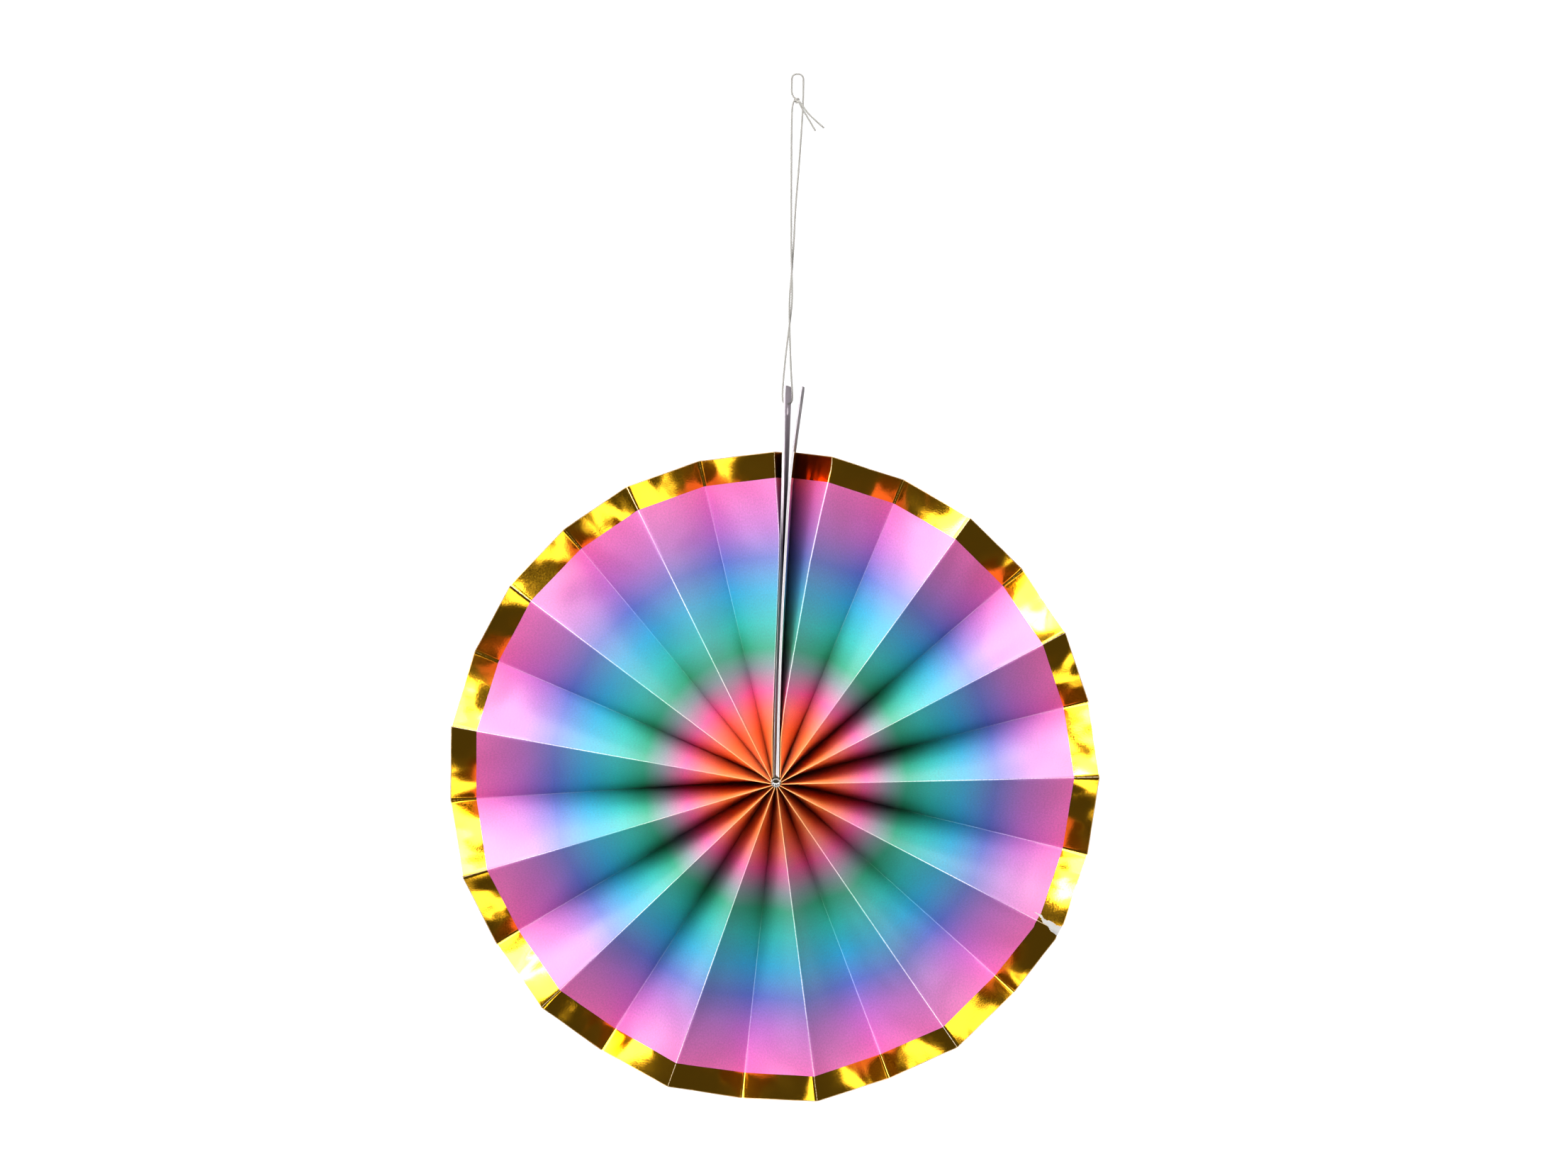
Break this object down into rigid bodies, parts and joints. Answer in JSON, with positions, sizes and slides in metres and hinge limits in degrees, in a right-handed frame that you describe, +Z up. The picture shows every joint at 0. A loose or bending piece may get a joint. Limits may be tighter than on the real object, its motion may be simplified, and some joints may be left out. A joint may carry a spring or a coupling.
{
  "type": "paper fan rosette",
  "caption": "Hanging rosette of pleated rainbow paper with a gold foil rim, opened from a folded strip, closed by stiff end cards and hung from a knotted string loop.",
  "frame": {"origin": "the inner top of the string's loop, where a hook bears", "axes": "+Z up along the hanging string, +Y out of the back of the disc, the printed side faces -Y"},
  "size_m": [0.2018, 0.0275, 0.3196],
  "materials": {
    "printed_paper": "matte print with a mirror-bright gold foil border",
    "white_card": "matte uncoated white board",
    "adhesive": "milky double-sided adhesive",
    "thread": "twisted cotton",
    "string": "twisted cotton"
  },
  "bodies": {
    "root": {"pleated_disc": "printed_paper", "end_card_left": "white_card", "end_card_right": "white_card", "card_adhesive": "adhesive", "hub_thread": "thread", "hanging_string": "string"}
  },
  "joints": []
}
